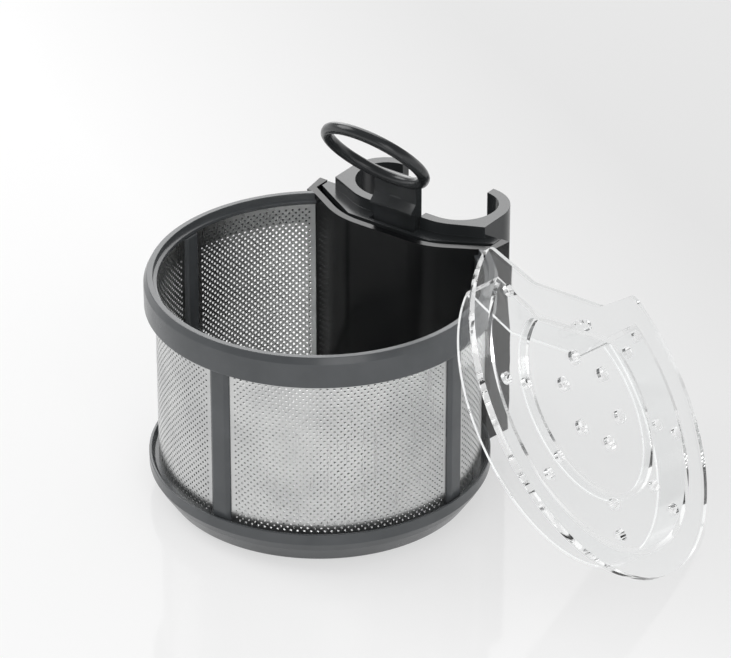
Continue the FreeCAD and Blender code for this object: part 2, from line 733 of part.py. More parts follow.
def cover_screws():
    """Four pan-head screws, one group of separate solids."""
    screws = []
    for number, (side, height) in enumerate(screw_places()):
        shank = screw_shank("screw_shank%d" % number, side, height)
        head = cylinder(
            "screw_top%d" % number, (cell("screw_out") * side, housing_back, height),
            cell("screw_head"), cell("screw_head_depth"), FACING_BACK)
        middle = cell("screw_out") * side
        half_slot = cell("screw_slot") * 0.5
        head_back = housing_back + cell("screw_head_depth")
        slot = box(
            "screw_slot%d" % number,
            (middle - cell("screw_head"), head_back - cell("screw_head_depth") * 0.5, height - half_slot),
            (middle + cell("screw_head"), head_back + PAST, height + half_slot))
        whole = boolean("Part::Fuse", "screw_whole%d" % number, shank, head)
        screws.append(boolean("Part::Cut", "screw_cut%d" % number, whole, slot))
    group = doc.addObject("Part::Compound", "screw_group")
    group.Links = screws
    doc.recompute()
    keep(group, "cover_screws")


def rear_cover():
    """Bent plate that closes the housing below the clip and leaves room for the post."""
    bend = cell("cover_bend")
    front = clip_line(clip_out) + [(cheek_in, clip_corner_back)]
    back = clip_line(clip_out - bend, cell("cover_gauge"))
    back += [(clip_out + bend, housing_back), (cheek_in, housing_back)]
    body = new_body("cover_body")
    prism(body, "cover_plate", mirrored_band(front, back), cover_low, clip_low)
    holes = [screw_shank("cover_hole%d" % number, side, height)
             for number, (side, height) in enumerate(screw_places()) if height.number < clip_low.number]
    keep(boolean("Part::Cut", "cover_cut", body, *holes), "rear_cover")


def post_clip():
    """C-shaped clip with its deck and side flanges."""
    body = new_body("clip_body")
    rear = bore_back + cell("clip_wall")
    half = clip_line(clip_out) + [(clip_out, rear)]
    prism(body, "clip_block", mirrored(half), clip_low, clip_top)
    rear_corners = [(clip_out, rear), (-clip_out, rear)]
    round_uprights(body, "clip_rear_round", rear_corners, cell("bore_rear_radius") + cell("clip_wall"))
    bends = [(cell("clip_bend"), clip_front), (-cell("clip_bend"), clip_front)]
    round_uprights(body, "clip_bends", bends, cell("clip_bend_radius"))
    deck_out = cheek_in - cell("deck_play")
    deck_front = wall_line(wall_gauge + cell("groove_width"), deck_out)
    deck_rear = clip_line(clip_out - JOIN, JOIN)
    deck_side = [(deck_out, housing_back), (clip_out - JOIN, housing_back)]
    flange_out = cheek_in - cell("cover_play")
    prism(body, "clip_deck", mirrored_band(deck_front, deck_rear + list(reversed(deck_side))),
          deck_low, deck_top)
    flange = [
        (clip_out - JOIN, clip_corner_back),
        (flange_out, clip_corner_back),
        (flange_out, housing_back),
        (clip_out - JOIN, housing_back),
    ]
    prism(body, "clip_flange_right", flange, clip_low, deck_low)
    prism(body, "clip_flange_left", [(-x, y) for x, y in reversed(flange)], clip_low, deck_low)
    half_gap = cell("latch_width") * 0.5 + cell("latch_play")
    gap_front = latch_front - cell("latch_swing")
    cut_prism(body, "clip_latch_gap", [
        (-half_gap, gap_front), (half_gap, gap_front),
        (half_gap, bore_front + PAST), (-half_gap, bore_front + PAST)],
        pin_height - cell("latch_room"), clip_top)
    bore = new_body("clip_bore_body")
    corners = [(-bore_out, bore_front), (bore_out, bore_front)]
    corners += [(bore_out, bore_back), (-bore_out, bore_back)]
    prism(bore, "clip_bore", corners, clip_low - PAST, clip_top + PAST)
    round_uprights(bore, "clip_bore_front", corners[:2], cell("bore_front_radius"))
    round_uprights(bore, "clip_bore_rear", corners[2:], cell("bore_rear_radius"))
    half_mouth = cell("mouth_width") * 0.5
    mouth = box("clip_mouth", (-half_mouth, bore_back - cell("mouth_depth"), clip_low - PAST),
                (half_mouth, rear + PAST, clip_top + PAST))
    holes = [screw_shank("clip_hole%d" % number, side, height)
             for number, (side, height) in enumerate(screw_places()) if height.number > clip_low.number]
    pin_seat = cylinder(
        "clip_pin_seat", (-cell("pin_length") * 0.5, pin_back, pin_height),
        cell("pin_radius"), cell("pin_length"), ALONG_X)
    keep(boolean("Part::Cut", "clip_cut", body, bore, mouth, pin_seat, *holes), "post_clip")


def magnet_tray():
    """Tray between the rear wall and the clip that holds the two lift magnets."""
    half = cell("tray_width") * 0.5
    low, high = cell("tray_low"), cell("tray_low") + cell("tray_height")
    tray = box("tray_block", (-half, wall_back + cell("tray_play"), low), (half, clip_front, high))
    pockets = []
    for number, side in enumerate((-0.5, 0.5)):
        pockets.append(magnet_box("tray_pocket%d" % number, side, clip_front))
    keep(boolean("Part::Cut", "tray_cut", tray, *pockets), "magnet_tray")


def magnet_box(name, side, back):
    middle = cell("magnet_pitch") * side
    half = cell("magnet_width") * 0.5
    low = cell("tray_low") + (cell("tray_height") - cell("magnet_height")) * 0.5
    front = clip_front - cell("magnet_gauge")
    return box(name, (middle - half, front, low), (middle + half, back, low + cell("magnet_height")))


def lift_magnets():
    """The two magnets, one group of separate solids."""
    group = doc.addObject("Part::Compound", "magnet_group")
    group.Links = [magnet_box("magnet%d" % number, side, clip_front)
                   for number, side in enumerate((-0.5, 0.5))]
    doc.recompute()
    keep(group, "lift_magnets")


def latch_pin():
    pin = cylinder(
        "pin_rod", (-cell("pin_length") * 0.5, pin_back, pin_height),
        cell("pin_radius"), cell("pin_length"), ALONG_X)
    keep(pin, "latch_pin")


def latch_spring():
    """Envelope of the torsion spring round the pin."""
    half = cell("spring_length") * 0.5
    outer = cylinder("spring_outer", (-half, pin_back, pin_height), cell("spring_radius"),
                     cell("spring_length"), ALONG_X)
    inner = cylinder("spring_inner", (-half, pin_back, pin_height), cell("pin_radius"),
                     cell("spring_length"), ALONG_X)
    keep(boolean("Part::Cut", "spring_cut", outer, inner), "latch_spring")


def ring_centre():
    """Middle of the finger ring, from where its lowest point meets the plate."""
    lean = math.radians(cell("ring_lean").number)
    radius = cell("ring_radius")
    low_back = latch_front + cell("ring_seat")
    low_height = cell("latch_top") - cell("ring_seat")
    return low_back - radius * math.cos(lean), low_height + radius * math.sin(lean)


def ring_torus(name):
    back, height = ring_centre()
    torus = doc.addObject("Part::Torus", name)
    bind(torus, "Radius1", cell("ring_radius"))
    bind(torus, "Radius2", cell("ring_tube"))
    torus.Placement = FreeCAD.Placement(
        FreeCAD.Vector(0.0, back.number, height.number),
        FreeCAD.Rotation(FreeCAD.Vector(1.0, 0.0, 0.0), -cell("ring_lean").number))
    return torus


def finger_ring():
    keep(ring_torus("finger_torus"), "finger_ring")


def latch_plate():
    """Upright plate with its foot on the pin, the nose and the thumb scoop above it."""
    front, back = latch_front, latch_front + cell("latch_gauge")
    low = pin_height - cell("latch_eye")
    foot_top = pin_height + cell("latch_eye")
    foot_back = clip_front + cell("pin_inset") * 2.0
    nose_low = cell("nose_low")
    reach = cell("nose_reach")
    scoop = cell("scoop_depth")
    nose_top = nose_low + cell("nose_height")
    top = cell("latch_top")
    half = cell("latch_width") * 0.5
    body = new_body("latch_body")
    sketch = new_sketch(body, "latch_profile", "YZ_Plane", -half)
    draw_polygon(sketch, [
        (front, low), (foot_back, low), (foot_back, foot_top), (back, foot_top + foot_back - back),
        (back, top), (front, top),
        (front + scoop, nose_top + cell("scoop_height")),
        (front + scoop * 0.7, nose_top + cell("scoop_lip")),
        (front - cell("nose_crest"), nose_top), (front - reach, nose_low + cell("nose_height") * 0.5),
        (front - reach, nose_low + cell("nose_chin")), (front, nose_low),
    ])
    pad(body, sketch, cell("latch_width"), "latch_block")
    hole = cylinder("latch_pin_hole", (-half - PAST, pin_back, pin_height),
                    cell("pin_radius") + cell("pin_play"), cell("latch_width") + 2.0 * PAST, ALONG_X)
    play = cell("spring_play")
    spring_half = cell("spring_length") * 0.5 + play
    pocket = box("latch_spring_pocket", (-spring_half, front - PAST, low - PAST),
                 (spring_half, foot_back + PAST, pin_height + cell("spring_radius") + play))
    keep(boolean("Part::Cut", "latch_cut", body, hole, pocket, ring_torus("latch_torus")), "latch_plate")


def lid_placement(along):
    """Where the lid leans, its lowest edge on the floor and its middle at a distance from the axis."""
    rise = math.radians(cell("lean_rise").number)
    gauge = cell("lid_gauge").number
    plate_foot = cell("lid_radius").number * math.cos(rise) + gauge * math.sin(rise)
    skirt_low = gauge + cell("skirt_depth").number
    skirt_foot = cell("skirt_radius").number * math.cos(rise) + skirt_low * math.sin(rise)
    height = max(plate_foot, skirt_foot)
    turn = FreeCAD.Rotation(UP, cell("lean_bearing").number)
    middle = turn.multVec(FreeCAD.Vector(along, cell("lean_shift").number, height))
    tip_over = FreeCAD.Rotation(FreeCAD.Vector(0.0, 1.0, 0.0), 90.0 - cell("lean_rise").number)
    face_out = FreeCAD.Rotation(UP, 90.0)
    roll = FreeCAD.Rotation(UP, cell("lean_roll").number)
    return FreeCAD.Placement(middle, turn.multiply(tip_over).multiply(face_out).multiply(roll))


def lean_lid(pieces, rim_piece):
    """Lean the lid's pieces so that they keep the named gap to the rim."""
    near = cell("rim_radius").number
    far = near + 2.0 * cell("lid_radius").number
    gap = cell("lean_gap").number
    shape = Part.Compound([piece.Shape for piece in pieces])
    while far - near > LEAN_STEP:
        middle = (near + far) / 2.0
        shape.Placement = lid_placement(middle)
        if shape.distToShape(rim_piece.Shape)[0] < gap:
            near = middle
        else:
            far = middle
    for piece in pieces:
        piece.Placement = lid_placement(far)
    doc.recompute()


def lid_notch_plan(flat, bend, tip_out, tip_back):
    """Plan of what is cut away behind the lid's rear edge."""
    rise = (size_of(tip_back) - flat) / (size_of(tip_out) - bend)
    far = size_of(tip_out) + FAR
    far_back = size_of(flat) + (far - bend) * rise
    return mirrored([(bend, flat), (far, far_back), (far, far_back + FAR)])


def lid_disc(name, radius, notch, low, high):
    """A round prism with its rear cut off along the notch."""
    body = new_body(name)
    sketch = new_sketch(body, name + "_circle", "XY_Plane", low)
    draw_circle(sketch, 0.0, 0.0, radius)
    pad(body, sketch, high - low, name + "_round")
    cut_prism(body, name + "_notch", notch, low, high)
    return body


def drain_places():
    """Row radius, bearing and hole radius of the lid's drain holes."""
    small = cell("drain_radius")
    places = [(cell("drain_outer"), bearing, small)
              for bearing in (40.0, -3.0, -43.0, -91.0, -137.0, -178.0, 138.0)]
    places += [(cell("drain_middle"), bearing, small)
               for bearing in (39.0, -3.0, -44.0, -91.0, -137.0, -178.0)]
    places += [(cell("drain_inner"), bearing, cell("drain_inner_radius"))
               for bearing in (-11.0, 49.0, 109.0, 169.0, -131.0, -71.0)]
    return places


def lid_plate():
    """Clear plate with its notched rear edge, its drain holes and the lifting tab."""
    gauge = cell("lid_gauge")
    bend, flat = cell("lid_notch_bend"), cell("lid_notch")
    notch = lid_notch_plan(flat, bend, cell("lid_tip_out"), cell("lid_tip_back"))
    body = lid_disc("lid_plate_body", cell("lid_radius"), notch, -gauge, size_of(0.0))
    round_uprights(body, "lid_bends", [(bend, flat), (-bend, flat)], cell("lid_bend_radius"))
    tips = lid_tips(body)
    round_uprights(body, "lid_tips", tips, cell("lid_tip_radius"))
    holes = []
    for number, (row, bearing, radius) in enumerate(drain_places()):
        angle = math.radians(bearing)
        holes.append(cylinder(
            "lid_drain%d" % number,
            (row * math.cos(angle), row * math.sin(angle), -gauge - PAST), radius, gauge + 2.0 * PAST))
    drained = boolean("Part::Cut", "lid_drained", body, *holes)
    return keep(drained, "lid_plate")


def lid_tips(body):
    """The two plan points where the notch meets the plate's round edge."""
    doc.recompute()
    radius = cell("lid_radius").number
    found = []
    for vertex in body.Shape.Vertexes:
        point = vertex.Point
        on_edge = abs(math.hypot(point.x, point.y) - radius) < 1e-4
        if on_edge and point.y > cell("lid_notch").number:
            found.append((point.x, point.y))
    return found


def skirt_notches():
    """Plans cut away behind the skirt's rear wall: behind its outside, and behind its inside."""
    bend, flat = cell("lid_notch_bend"), cell("skirt_notch")
    tip_out, tip_back = cell("skirt_tip_out"), cell("skirt_tip_back")
    wall = cell("skirt_wall")
    turn = math.atan2((tip_back - flat).number, (tip_out - bend).number)
    outside = lid_notch_plan(flat, bend, tip_out, tip_back)
    inside = lid_notch_plan(
        flat - wall, bend + wall * math.tan(turn / 2.0),
        tip_out + wall * math.sin(turn), tip_back - wall * math.cos(turn))
    return outside, inside


def lid_skirt():
    """Skirt under the plate that fits inside the rim."""
    gauge = cell("lid_gauge")
    wall = cell("skirt_wall")
    radius = cell("skirt_radius")
    low = -gauge - cell("skirt_depth")
    outside, inside = skirt_notches()
    outer = lid_disc("skirt_outer", radius, outside, low, -gauge)
    inner = lid_disc("skirt_inner", radius - wall, inside, low - PAST, -gauge + PAST)
    shell = boolean("Part::Cut", "skirt_shell", outer, inner)
    return keep(shell, "lid_skirt")


def lid_well():
    """Ring wall under the plate round the middle drain holes."""
    gauge = cell("lid_gauge")
    wall = cell("well_wall")
    low = -gauge - cell("well_depth")
    outer = lid_disc("well_outer", cell("well_radius"), skirt_notches()[1], low, -gauge)
    inner = cylinder("well_inner", (0.0, 0.0, low - PAST), cell("well_radius") - wall,
                     cell("well_depth") + 2.0 * PAST)
    ring = boolean("Part::Cut", "well_ring", outer, inner)
    return keep(ring, "lid_well")


def lid_tab():
    """Small lifting tab that stands on the plate in front of its rear edge."""
    half = cell("tab_width") * 0.5
    back = cell("skirt_notch")
    tab = box("tab_block", (-half, back - cell("tab_gauge"), 0.0), (half, back, cell("tab_height")))
    slope = cylinder("tab_round", (0.0, back - cell("tab_gauge") - PAST, 0.0), cell("tab_height"),
                     cell("tab_gauge") + 2.0 * PAST, FACING_BACK)
    made = boolean("Part::Common", "tab_cut", tab, slope)
    return keep(made, "lid_tab")


def check_document():
    """Stop at any object that failed, and at any kept piece without a sound shape."""
    doc.recompute()
    for made in doc.Objects:
        if "Invalid" in made.State or "Error" in made.State:
            raise RuntimeError("object failed: %s %s" % (made.Name, made.State))
    for made in PARTS:
        shape = made.Shape
        if shape.isNull() or not shape.isValid() or not shape.Solids:
            raise RuntimeError("shape not sound: " + made.Label)


def write_parts():
    os.makedirs("parts", exist_ok=True)
    for made in PARTS:
        made.Shape.exportStep(os.path.join("parts", made.Label + ".step"))


BAY = rib_half_angle()
WALL = wall_angle()

rim_piece = rim()
rib("front_rib", -90.0)
rib("left_rib", 180.0)
rib("right_rib", 0.0)
sheet_panel("mesh_rear_right", BAY, WALL)
sheet_panel("mesh_front_right", -90.0 + BAY, -BAY)
sheet_panel("mesh_front_left", -180.0 + BAY, -90.0 - BAY)
sheet_panel("mesh_rear_left", 180.0 - WALL, 180.0 - BAY)
sheet_floor()
gutter()
foot()
housing()
rear_cover()
post_clip()
cover_screws()
magnet_tray()
lift_magnets()
latch_pin()
latch_spring()
latch_plate()
finger_ring()
lean_lid([lid_plate(), lid_skirt(), lid_well(), lid_tab()], rim_piece)
check_document()
write_parts()
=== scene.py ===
import math

import bmesh
import bpy
from mathutils import Matrix, Vector


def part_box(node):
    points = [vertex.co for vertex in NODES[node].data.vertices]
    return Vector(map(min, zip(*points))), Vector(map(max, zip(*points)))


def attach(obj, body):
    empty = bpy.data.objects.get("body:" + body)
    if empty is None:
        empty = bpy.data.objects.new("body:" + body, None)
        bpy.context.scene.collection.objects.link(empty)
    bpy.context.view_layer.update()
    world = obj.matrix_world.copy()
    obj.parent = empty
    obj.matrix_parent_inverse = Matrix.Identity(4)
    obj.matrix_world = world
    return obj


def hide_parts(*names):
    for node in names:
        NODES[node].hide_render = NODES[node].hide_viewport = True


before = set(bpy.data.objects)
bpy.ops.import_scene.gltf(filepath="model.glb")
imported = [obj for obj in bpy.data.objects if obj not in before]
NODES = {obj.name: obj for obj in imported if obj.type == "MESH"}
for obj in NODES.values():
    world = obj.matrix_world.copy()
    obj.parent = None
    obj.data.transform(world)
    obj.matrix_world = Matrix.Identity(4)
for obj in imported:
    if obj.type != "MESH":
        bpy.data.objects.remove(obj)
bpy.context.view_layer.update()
MM = 0.001


def node_box(node):
    """A node's lowest and highest corners in millimetres."""
    low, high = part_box(node)
    return Vector(low) / MM, Vector(high) / MM


# How far the turned rings stay inside the solids, so that their facets don't reach past them.
WITHIN = 0.01

# Sizes in millimetres, from the frame where a node's box gives them.
RIM_LOW, RIM_TOP = node_box("rim_band")[0].z, node_box("rim_band")[1].z
RIM_RADIUS = node_box("rim_band")[1].x - WITHIN
RIM_OPENING, RIM_SHOULDER = 45.4, 1.9
LEDGE_RADIUS, LEDGE_TOP, LEDGE_RISE = 44.3, 63.4, 0.3
SHEET_LOW, SHEET_TOP = node_box("mesh_front_left")[0].z, node_box("mesh_front_left")[1].z
SHEET_INNER = node_box("floor_sheet")[1].x
SHEET_GAUGE = 0.4
SHEET_OUTER = SHEET_INNER + SHEET_GAUGE
FLOOR_LOW, FLOOR_TOP = node_box("floor_sheet")[0].z, node_box("floor_sheet")[1].z
GUTTER_LOW, GUTTER_TOP = node_box("gutter_flange")[0].z, node_box("gutter_flange")[1].z
GUTTER_RADIUS = node_box("gutter_flange")[1].x
GUTTER_INNER, GUTTER_SHOULDER, GUTTER_BED = 41.5, 46.3, 8.7
RIB_WIDTH = node_box("left_rib")[1].y * 2.0
WALL_FRONT = node_box("rear_housing")[0].y
WALL_BEND, WALL_BEND_RADIUS = 14.8, 24.0
WALL_CORNER = Vector((29.3, 36.5))
WALL_RUN = (WALL_CORNER - Vector((WALL_BEND, WALL_FRONT))).normalized()

# The sheet's holes stand in a square lattice on its corner: half the distance between rows,
# the holes' radius and how many sides a hole has.
HOLE_STEP, HOLE_RADIUS, HOLE_SIDES = 0.915, 0.35, 8

# Plain borders of the sheet: beside and above the holes of a bay, round the floor's holes, and
# the pressed rim of the floor at the sheet and at the rear wall.
BAY_BORDER_SIDE, BAY_BORDER_TOP = 0.75, 0.6
FLOOR_BORDER, FLOOR_BORDER_WALL = 1.6, 2.0
FLOOR_RIM, FLOOR_RIM_WALL, FLOOR_RIM_PROUD = 2.6, 3.2, 0.03

# Radii of the rounded edges of the moulded pieces.
FRAME_EDGE, CLIP_EDGE, LATCH_EDGE, LID_EDGE = 0.3, 0.25, 0.2, 0.3


# Materials

def node_of(tree, kind, **settings):
    node = tree.nodes.new(kind)
    for name, value in settings.items():
        setattr(node, name, value)
    return node


def new_material(name):
    made = bpy.data.materials.new(name)
    made.use_nodes = True
    tree = made.node_tree
    place = node_of(tree, "ShaderNodeTexCoord").outputs["Object"]
    return made, tree, tree.nodes["Principled BSDF"], place


def noise(tree, place, scale, detail=3.0):
    made = node_of(tree, "ShaderNodeTexNoise")
    made.inputs["Scale"].default_value = scale
    made.inputs["Detail"].default_value = detail
    tree.links.new(place, made.inputs["Vector"])
    return made.outputs["Fac"]


def spread(tree, value, low, high):
    """Map 0..1 onto a range."""
    made = node_of(tree, "ShaderNodeMapRange")
    made.inputs["To Min"].default_value = low
    made.inputs["To Max"].default_value = high
    tree.links.new(value, made.inputs["Value"])
    return made.outputs["Result"]


def between(tree, value, first, second):
    """A colour between two, by the middle part of a value's range."""
    ramp = node_of(tree, "ShaderNodeValToRGB")
    for element, position, colour in zip(ramp.color_ramp.elements, (0.35, 0.65), (first, second)):
        element.position = position
        element.color = (*colour, 1.0)
    tree.links.new(value, ramp.inputs["Fac"])
    return ramp.outputs["Color"]


def bumped(tree, shader, height, strength, distance):
    bump = node_of(tree, "ShaderNodeBump")
    bump.inputs["Strength"].default_value = strength
    bump.inputs["Distance"].default_value = distance
    tree.links.new(height, bump.inputs["Height"])
    tree.links.new(bump.outputs["Normal"], shader.inputs["Normal"])


def plastic(name, dark, light, rough, specular=0.5):
    """Moulded plastic: a little uneven in colour and gloss, with a very fine grain."""
    made, tree, shader, place = new_material(name)
    shader.inputs["Specular IOR Level"].default_value = specular
    tree.links.new(between(tree, noise(tree, place, 90.0), dark, light), shader.inputs["Base Color"])
    tree.links.new(spread(tree, noise(tree, place, 220.0, 5.0), *rough), shader.inputs["Roughness"])
    bumped(tree, shader, noise(tree, place, 4200.0, 2.0), 0.04, 0.0001)
    return made


def sheet_steel():
    """Rolled steel sheet with fine upright streaks."""
    made, tree, shader, place = new_material("rolled_steel")
    shader.inputs["Metallic"].default_value = 1.0
    stretch = node_of(tree, "ShaderNodeMapping")
    stretch.inputs["Scale"].default_value = (1.0, 1.0, 0.08)
    tree.links.new(place, stretch.inputs["Vector"])
    streaks = noise(tree, stretch.outputs["Vector"], 900.0, 4.0)
    tree.links.new(
        between(tree, noise(tree, place, 60.0), (0.56, 0.565, 0.565), (0.67, 0.675, 0.67)),
        shader.inputs["Base Color"])
    tree.links.new(spread(tree, streaks, 0.22, 0.36), shader.inputs["Roughness"])
    bumped(tree, shader, streaks, 0.1, 0.0001)
    return made


def turned_steel():
    """Bright turned steel of the small hidden parts."""
    made, tree, shader, place = new_material("turned_steel")
    shader.inputs["Metallic"].default_value = 1.0
    tree.links.new(
        between(tree, noise(tree, place, 300.0), (0.5, 0.5, 0.49), (0.62, 0.62, 0.61)),
        shader.inputs["Base Color"])
    tree.links.new(spread(tree, noise(tree, place, 900.0), 0.25, 0.4), shader.inputs["Roughness"])
    return made


def clear_plastic():
    """Clear polished plastic, slightly uneven from the mould."""
    made, tree, shader, place = new_material("clear_plastic")
    shader.inputs["Transmission Weight"].default_value = 1.0
    shader.inputs["IOR"].default_value = 1.3
    tree.links.new(
        between(tree, noise(tree, place, 40.0), (0.965, 0.972, 0.972), (0.98, 0.985, 0.985)),
        shader.inputs["Base Color"])
    tree.links.new(spread(tree, noise(tree, place, 120.0), 0.0, 0.04), shader.inputs["Roughness"])
    bumped(tree, shader, noise(tree, place, 90.0, 1.0), 0.05, 0.0004)
    return made


GREY = plastic("grey_plastic", (0.062, 0.067, 0.071), (0.076, 0.081, 0.086), (0.2, 0.3))
BLACK = plastic("black_plastic", (0.004, 0.0045, 0.005), (0.008, 0.0085, 0.009), (0.14, 0.24), 0.35)
DARK = plastic("dark_plastic", (0.02, 0.022, 0.023), (0.029, 0.031, 0.033), (0.17, 0.27))
SHEET = sheet_steel()
STEEL = turned_steel()
CLEAR = clear_plastic()


# Mesh helpers

def new_object(name, mesh):
    made = bpy.data.objects.new(name, mesh)
    bpy.context.scene.collection.objects.link(made)
    return made


def new_piece(name, verts, faces):
    """An object from points in millimetres."""
    mesh = bpy.data.meshes.new(name)
    mesh.from_pydata([tuple(MM * c for c in v) for v in verts], [], faces)
    mesh.validate()
    return new_object(name, mesh)


def dressed(made, material, body, slot, *replaced):
    """Give a piece its material, the body that it rides on and the nodes that it stands for."""
    made.data.materials.clear()
    made.data.materials.append(material)
    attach(made, body)
    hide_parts(*replaced)
    return made


def smooth(made, sharp):
    made.data.shade_smooth()
    made.data.set_sharp_from_angle(angle=math.radians(sharp))
    return made


def copied(node, name, shift=Vector((0.0, 0.0, 0.0))):
    """A welded copy of a CAD node's mesh with its flat faces joined."""
    mesh = NODES[node].data.copy()
    work = bmesh.new()
    work.from_mesh(mesh)
    bmesh.ops.remove_doubles(work, verts=work.verts, dist=2e-6)
    bmesh.ops.dissolve_limit(work, angle_limit=math.radians(1.0), verts=work.verts, edges=work.edges)
    bmesh.ops.translate(work, verts=work.verts, vec=shift * MM)
    work.to_mesh(mesh)
    work.free()
    if "custom_normal" in mesh.attributes:
        mesh.attributes.remove(mesh.attributes["custom_normal"])
    return new_object(name, mesh)


def apply_modifiers(made):
    bpy.context.view_layer.update()
    seen = made.evaluated_get(bpy.context.evaluated_depsgraph_get())
    mesh = bpy.data.meshes.new_from_object(seen)
    made.modifiers.clear()
    made.data = mesh
    return made


def even_normals(made, sharp=60.0):
    """Smooth shading that follows the larger faces."""
    smooth(made, sharp)
    weighted = made.modifiers.new("normals", "WEIGHTED_NORMAL")
    weighted.keep_sharp = True
    weighted.weight = 90
    return apply_modifiers(made)


def round_edges(made, width, segments=3, angle=30.0):
    """Round a mesh's edges and keep its large faces flat in the shading."""
    bevel = made.modifiers.new("edges", "BEVEL")
    bevel.width = width * MM
    bevel.segments = segments
    bevel.limit_method = "ANGLE"
    bevel.angle_limit = math.radians(angle)
    return even_normals(apply_modifiers(made))


def rounded_corners(points, steps=5):
    """A closed outline of (x, y, radius) points with arcs in its corners."""
    outline = []
    for k, (x, y, radius) in enumerate(points):
        here = Vector((x, y))
        if radius <= 0.0:
            outline.append((x, y))
            continue
        before = Vector(points[k - 1][:2]) - here
        after = Vector(points[(k + 1) % len(points)][:2]) - here
        half = before.angle(after) / 2.0
        reach = radius / math.tan(half)
        start, end = before.normalized() * reach, after.normalized() * reach
        centre = (start + end).normalized() * (radius / math.sin(half))
        for m in range(steps + 1):
            part = (start - centre).slerp(end - centre, m / steps).normalized() * radius
            outline.append(tuple(here + centre + part))
    return outline


# Perforated sheet

SIDES = ((1, 0), (0, 1), (-1, 0), (0, -1))


class Lattice:
    """Builds both faces of a perforated sheet from a lattice of diamonds, each with one hole."""

    def __init__(self, place, step_u, step_v):
        self.place = place
        self.step_u = step_u
        self.step_v = step_v
        self.verts = []
        self.faces = []
        self.known = {}

    def vert(self, key, u, v):
        """The pair of points on the outer and the inner face."""
        if key not in self.known:
            self.known[key] = len(self.verts)
            self.verts.append(self.place(u, v, False))
            self.verts.append(self.place(u, v, True))
        return self.known[key]

    def node(self, i, j):
        return self.vert((i, j), i * self.step_u, j * self.step_v)

    def both(self, ring):
        self.faces.append(list(ring))
        self.faces.append([n + 1 for n in reversed(ring)])

    def holed(self, i, j):
        """One diamond round the centre (i, j) with a round hole."""
        outline = []
        for k, (a, b) in enumerate(SIDES):
            c, d = SIDES[(k + 1) % 4]
            outline.append(self.node(i + a, j + b))
            outline.append(self.node(i + (a + c) / 2.0, j + (b + d) / 2.0))
        rim = []
        for k in range(HOLE_SIDES):
            turn = 2.0 * math.pi * k / HOLE_SIDES
            u, v = HOLE_RADIUS * math.cos(turn), HOLE_RADIUS * math.sin(turn)
            rim.append(self.vert((i, j, k), i * self.step_u + u, j * self.step_v + v))
        for k in range(HOLE_SIDES):
            after = (k + 1) % HOLE_SIDES
            self.both([outline[k], outline[after], rim[after], rim[k]])
            self.faces.append([rim[k], rim[after], rim[after] + 1, rim[k] + 1])

    def solid(self, i, j, keep):
        """The part of a diamond without a hole whose corners pass the test."""
        ring = []
        for k, (a, b) in enumerate(SIDES):
            c, d = SIDES[(k + 1) % 4]
            if keep(i + a, j + b):
                ring.append(self.node(i + a, j + b))
                if keep(i + c, j + d):
                    ring.append(self.node(i + (a + c) / 2.0, j + (b + d) / 2.0))
        if len(ring) > 2:
            self.both(ring)


def sheet_panel(node, start, end):
    """One bay of perforated sheet between two bearings, with a plain border."""
    radius = (SHEET_OUTER + SHEET_INNER) / 2.0
    width = math.radians(end - start) * radius
    height = SHEET_TOP - SHEET_LOW
    border_u, border_v = BAY_BORDER_SIDE, BAY_BORDER_TOP
    columns = 2 * int((width - 2.0 * border_u) / (2.0 * HOLE_STEP))
    rows = 2 * int((height - 2.0 * border_v) / (2.0 * HOLE_STEP))
    step_u = (width - 2.0 * border_u) / columns
    step_v = (height - 2.0 * border_v) / rows

    def place(u, v, inner):
        reach = SHEET_INNER if inner else SHEET_OUTER
        turn = math.radians(start) + (u + border_u - step_u) / radius
        return (reach * math.cos(turn), reach * math.sin(turn), SHEET_LOW + border_v + v)

    def inside(i, j):
        return 1 <= i <= columns + 1 and 0 <= j <= rows

    lattice = Lattice(place, step_u, step_v)
    for i in range(1, columns + 2):
        for j in range(rows + 1):
            if (i + j) % 2:
                continue
            if 1 < i < columns + 1 and 0 < j < rows:
                lattice.holed(i, j)
            else:
                lattice.solid(i, j, inside)
    border = [(i, 0) for i in range(1, columns + 2)]
    border += [(columns + 1, j) for j in range(1, rows + 1)]
    border += [(i, rows) for i in range(columns, 0, -1)]
    border += [(1, j) for j in range(rows - 1, 0, -1)]
    border = [(i, j) for i, j in border if (i + j) % 2]
    outer = []
    for i, j in border:
        u = i * step_u + border_u * ((i == columns + 1) - (i == 1))
        v = j * step_v + border_v * ((j == rows) - (j == 0))
        outer.append(lattice.vert(("edge", i, j), u, v))
    for k, (i, j) in enumerate(border):
        after = (k + 1) % len(border)
        lattice.both([outer[k], outer[after], lattice.node(*border[after]), lattice.node(i, j)])
        lattice.faces.append([outer[after], outer[k], outer[k] + 1, outer[after] + 1])
    made = new_piece(node + "_sheet", lattice.verts, lattice.faces)
    return dressed(smooth(made, 40.0), SHEET, "basket", "sheet_steel", node)


def wall_y(x):
    """Distance of the rear wall's front from the axis at a half width."""
    turn = math.atan2(WALL_RUN.y, WALL_RUN.x)
    bend_start = WALL_BEND - WALL_BEND_RADIUS * math.tan(turn / 2.0)
    across = abs(x) - bend_start
    if across <= 0.0:
        return WALL_FRONT
    if across < WALL_BEND_RADIUS * math.sin(turn):
        return WALL_FRONT + WALL_BEND_RADIUS - math.sqrt(WALL_BEND_RADIUS ** 2 - across ** 2)
    return WALL_FRONT + (abs(x) - WALL_BEND) * WALL_RUN.y / WALL_RUN.x


